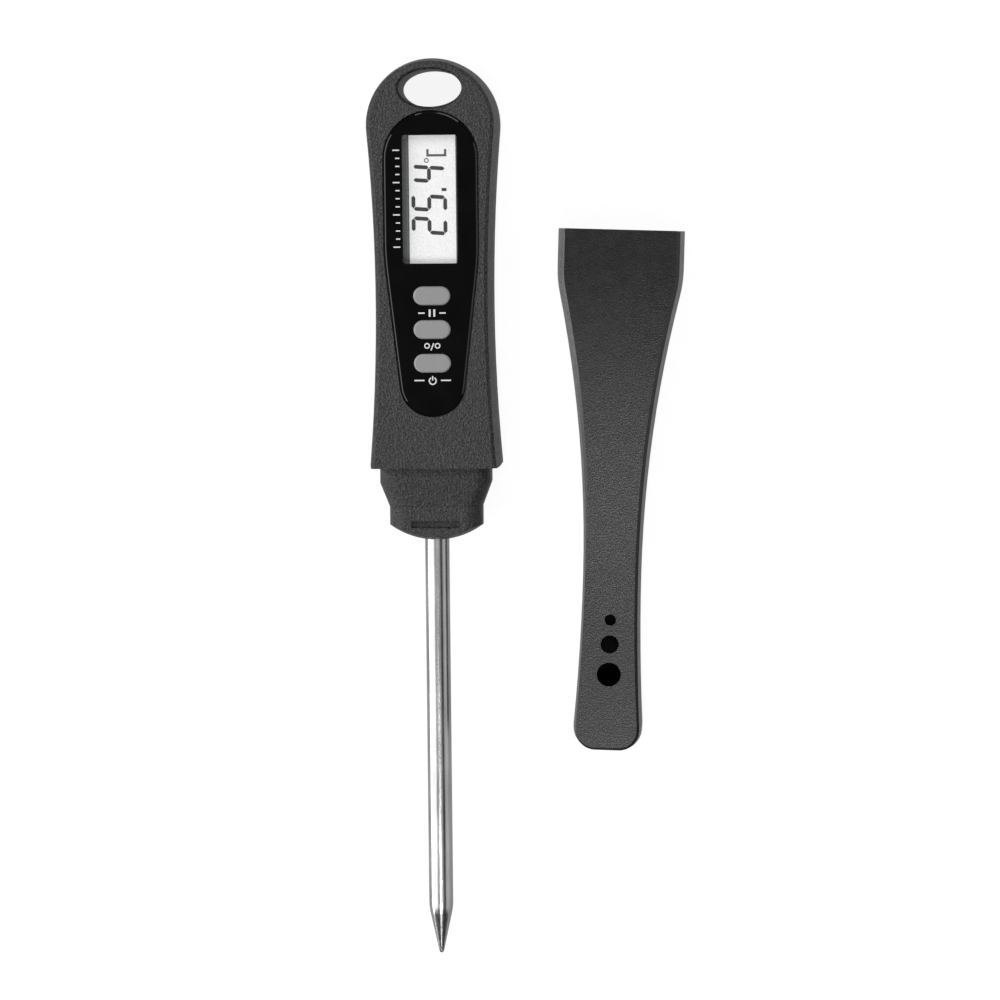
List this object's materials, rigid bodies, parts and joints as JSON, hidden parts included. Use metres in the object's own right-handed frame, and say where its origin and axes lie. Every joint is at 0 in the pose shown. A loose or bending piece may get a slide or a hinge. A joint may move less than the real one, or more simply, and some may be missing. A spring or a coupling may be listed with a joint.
{
  "type": "meat thermometer",
  "caption": "Digital meat thermometer with a pointed steel probe, teardrop display lens, push keys, a hang hole and a loose slip-on probe sheath.",
  "frame": {"origin": "centre of the handle's flat back, the face it lies on", "axes": "+Z out of the front face, +Y along the handle towards the hang hole, +X to the sheath's side; the probe points along -Y"},
  "size_m": [0.0697, 0.1986, 0.017],
  "materials": {
    "housing": "fine spark-eroded texture, black",
    "sheath": "satin, very fine texture, black",
    "lens": "clear acrylic printed gloss black behind, with a clear window",
    "lcd_glass": "polished",
    "polariser": "anti-glare film",
    "reflector": "silvery film",
    "white_plastic": "moulded",
    "zebra_rubber": "striped conductive rubber",
    "board": "green solder mask",
    "resin": "cured epoxy",
    "plated_metal": "nickel plated",
    "capacitor": "fired",
    "contact_metal": "plated spring strip",
    "seal_rubber": "moulded",
    "stainless": "drawn and polished",
    "brass_plate": "turned",
    "sensor_glass": "bead",
    "red_insulation": "extruded",
    "black_insulation": "extruded",
    "screw_steel": "zinc plated",
    "keys": "fine matt, mid grey",
    "switch_case": "moulded",
    "switch_plunger": "moulded"
  },
  "bodies": {
    "thermometer": {"front_housing": "housing", "rear_housing": "housing", "display_lens": "lens", "lcd_front_glass": "lcd_glass", "lcd_rear_glass": "lcd_glass", "lcd_front_polariser": "polariser", "lcd_rear_polariser": "reflector", "lcd_holder": "white_plastic", "zebra_strip": "zebra_rubber", "circuit_board": "board", "chip_blob": "resin", "clock_crystal": "plated_metal", "chip_capacitors": "capacitor", "battery_cell": "plated_metal", "battery_spring": "contact_metal", "battery_clip": "contact_metal", "probe_tube": "stainless", "probe_clamp": "brass_plate", "probe_seal": "seal_rubber", "thermistor": "sensor_glass", "tip_potting": "resin", "red_lead": "red_insulation", "black_lead": "black_insulation", "housing_screws": "screw_steel", "board_screws": "screw_steel", "hold_switch_case": "switch_case", "unit_switch_case": "switch_case", "power_switch_case": "switch_case"},
    "battery_cap_body": {"battery_cap": "housing", "battery_seal": "seal_rubber"},
    "sheath_body": {"sheath": "sheath"},
    "hold_key_body": {"hold_key": "keys", "hold_switch_plunger": "switch_plunger"},
    "unit_key_body": {"unit_key": "keys", "unit_switch_plunger": "switch_plunger"},
    "power_key_body": {"power_key": "keys", "power_switch_plunger": "switch_plunger"}
  },
  "joints": [
    {"name": "hold_key_press", "type": "slide", "parent": "thermometer", "child": "hold_key_body", "axis": [0, 0, -1], "range_m": [0, 0.0003], "stiffness_N_per_m": 1000, "springref_m": -0.0003},
    {"name": "unit_key_press", "type": "slide", "parent": "thermometer", "child": "unit_key_body", "axis": [0, 0, -1], "range_m": [0, 0.0003], "stiffness_N_per_m": 1000, "springref_m": -0.0003},
    {"name": "power_key_press", "type": "slide", "parent": "thermometer", "child": "power_key_body", "axis": [0, 0, -1], "range_m": [0, 0.0003], "stiffness_N_per_m": 1000, "springref_m": -0.0003},
    {"name": "battery_cap_turn", "type": "hinge", "parent": "thermometer", "child": "battery_cap_body", "pos_m": [0, 0.008, 0], "axis": [0, 0, 1], "range_deg": [0, 70]},
    {"name": "sheath_slide", "type": "slide", "parent": "thermometer", "child": "sheath_body", "axis": [-0.0349, -0.9994, 0], "range_m": [0, 0.165]}
  ]
}
